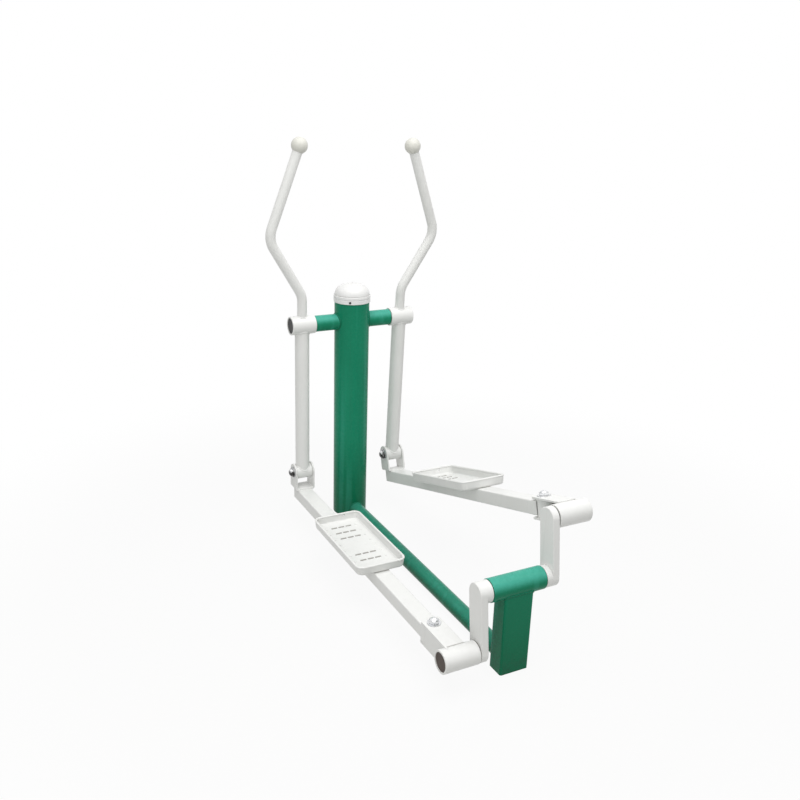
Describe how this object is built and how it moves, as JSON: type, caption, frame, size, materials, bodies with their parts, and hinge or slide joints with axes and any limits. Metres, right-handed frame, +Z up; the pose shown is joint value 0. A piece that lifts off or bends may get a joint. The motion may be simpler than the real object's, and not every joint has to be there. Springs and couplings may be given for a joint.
{
  "type": "outdoor pedal walker",
  "caption": "Outdoor pedal walker: swinging hand levers on a column carry long foot arms with trays, whose rear ends turn on opposed cranks.",
  "frame": {"origin": "on the ground, under the middle of the machine's bounding box at rest", "axes": "+Z up, +Y from the cranks towards the column, +X to the user's right"},
  "size_m": [0.7196, 1.3688, 1.5517],
  "materials": {
    "green_paint": "gloss",
    "white_paint": "gloss",
    "white_cap": "gloss",
    "white_ball": "gloss",
    "dark_cap": "satin",
    "brown_cap": "satin",
    "dark_bolt": "blackened",
    "bare_steel": "zinc plated",
    "bearing_steel": "ground"
  },
  "bodies": {
    "frame": {"column": "green_paint", "column_cap": "white_cap", "cap_screws": "dark_bolt", "cross_tube": "green_paint", "lever_axle": "bare_steel", "lever_axle_nuts": "bare_steel", "rear_post": "green_paint", "crank_housing": "green_paint", "base_beam": "green_paint", "crank_bearings": "bearing_steel"},
    "crankset": {"crank_axle": "bare_steel", "crank_spacers": "bare_steel", "crank_arm_right": "white_paint", "crank_arm_left": "white_paint"},
    "lever_right": {"lever_hub_right": "white_paint", "lever_bearings_right": "bearing_steel", "lever_hub_cap_right": "dark_cap", "lever_tube_right": "white_paint", "lever_bush_right": "white_paint", "lower_bearings_right": "bearing_steel", "grip_tube_right": "white_paint", "grip_end_right": "white_ball"},
    "fork_pivot_right": {"fork_pin_right": "dark_bolt", "fork_pin_nut_right": "dark_bolt", "fork_washers_right": "bare_steel"},
    "arm_right": {"arm_tube_right": "white_paint", "fork_right": "white_paint", "pedal_right": "white_paint", "knuckle_bush_right": "white_paint"},
    "rear_knuckle_right": {"rear_hub_right": "white_paint", "rear_bearings_right": "bearing_steel", "rear_hub_cap_right": "brown_cap", "knuckle_bracket_right": "white_paint", "knuckle_bolt_right": "bare_steel", "knuckle_nut_right": "bare_steel"},
    "crank_journal_right": {"crank_pin_right": "bare_steel"},
    "lever_left": {"lever_hub_left": "white_paint", "lever_bearings_left": "bearing_steel", "lever_hub_cap_left": "dark_cap", "lever_tube_left": "white_paint", "lever_bush_left": "white_paint", "lower_bearings_left": "bearing_steel", "grip_tube_left": "white_paint", "grip_end_left": "white_ball"},
    "fork_pivot_left": {"fork_pin_left": "dark_bolt", "fork_pin_nut_left": "dark_bolt", "fork_washers_left": "bare_steel"},
    "arm_left": {"arm_tube_left": "white_paint", "fork_left": "white_paint", "pedal_left": "white_paint", "knuckle_bush_left": "white_paint"},
    "rear_knuckle_left": {"rear_hub_left": "white_paint", "rear_bearings_left": "bearing_steel", "rear_hub_cap_left": "brown_cap", "knuckle_bracket_left": "white_paint", "knuckle_bolt_left": "bare_steel", "knuckle_nut_left": "bare_steel"},
    "crank_journal_left": {"crank_pin_left": "bare_steel"}
  },
  "joints": [
    {"name": "crank_spin", "type": "hinge", "parent": "frame", "child": "crankset", "pos_m": [0, -0.6221, 0.3], "axis": [1, 0, 0], "continuous": true},
    {"name": "lever_left_swing", "type": "hinge", "parent": "frame", "child": "lever_left", "pos_m": [0, 0.6109, 0.84], "axis": [1, 0, 0], "range_deg": [-15.1, 17.3]},
    {"name": "fork_pin_left_turn", "type": "hinge", "parent": "lever_left", "child": "fork_pivot_left", "pos_m": [0, 0.61683, 0.21503], "axis": [1, 0, 0], "range_deg": [-17.3, 15.1]},
    {"name": "arm_left_pitch", "type": "hinge", "parent": "fork_pivot_left", "child": "arm_left", "pos_m": [0, 0.61683, 0.21503], "axis": [-1, 0, 0], "range_deg": [0, 17.2]},
    {"name": "knuckle_left_yaw", "type": "hinge", "parent": "arm_left", "child": "rear_knuckle_left", "pos_m": [-0.214, -0.5069, 0.112], "axis": [0, -0.0027, 1], "range_deg": [-0.75, 0.75]},
    {"name": "crank_pin_left_turn", "type": "hinge", "parent": "rear_knuckle_left", "child": "crank_journal_left", "pos_m": [0, -0.6469, 0.11163], "axis": [1, 0, 0], "continuous": true},
    {"name": "lever_right_swing", "type": "hinge", "parent": "frame", "child": "lever_right", "pos_m": [0, 0.6109, 0.84], "axis": [1, 0, 0], "range_deg": [-17.3, 15.1]},
    {"name": "fork_pin_right_turn", "type": "hinge", "parent": "lever_right", "child": "fork_pivot_right", "pos_m": [0, 0.64099, 0.21573], "axis": [1, 0, 0], "range_deg": [-15.1, 17.3]},
    {"name": "arm_right_pitch", "type": "hinge", "parent": "fork_pivot_right", "child": "arm_right", "pos_m": [0, 0.64099, 0.21573], "axis": [-1, 0, 0], "range_deg": [-17.2, 0]},
    {"name": "knuckle_right_yaw", "type": "hinge", "parent": "arm_right", "child": "rear_knuckle_right", "pos_m": [0.214, -0.46337, 0.44758], "axis": [0, 0.2914, 0.9566], "range_deg": [-0.75, 0.75]},
    {"name": "crank_pin_right_turn", "type": "hinge", "parent": "rear_knuckle_right", "child": "crank_journal_right", "pos_m": [0, -0.5973, 0.48838], "axis": [1, 0, 0], "continuous": true}
  ],
  "couplings": [
    {"joint": "lever_right_swing", "follows": "lever_left_swing", "ratio": -1},
    {"joint": "fork_pin_left_turn", "follows": "lever_left_swing", "ratio": -1},
    {"joint": "fork_pin_right_turn", "follows": "lever_left_swing", "ratio": 1},
    {"joint": "arm_right_pitch", "follows": "arm_left_pitch", "ratio": -1},
    {"joint": "crank_pin_left_turn", "follows": "crank_spin", "ratio": 1},
    {"joint": "crank_pin_right_turn", "follows": "crank_spin", "ratio": 1}
  ]
}
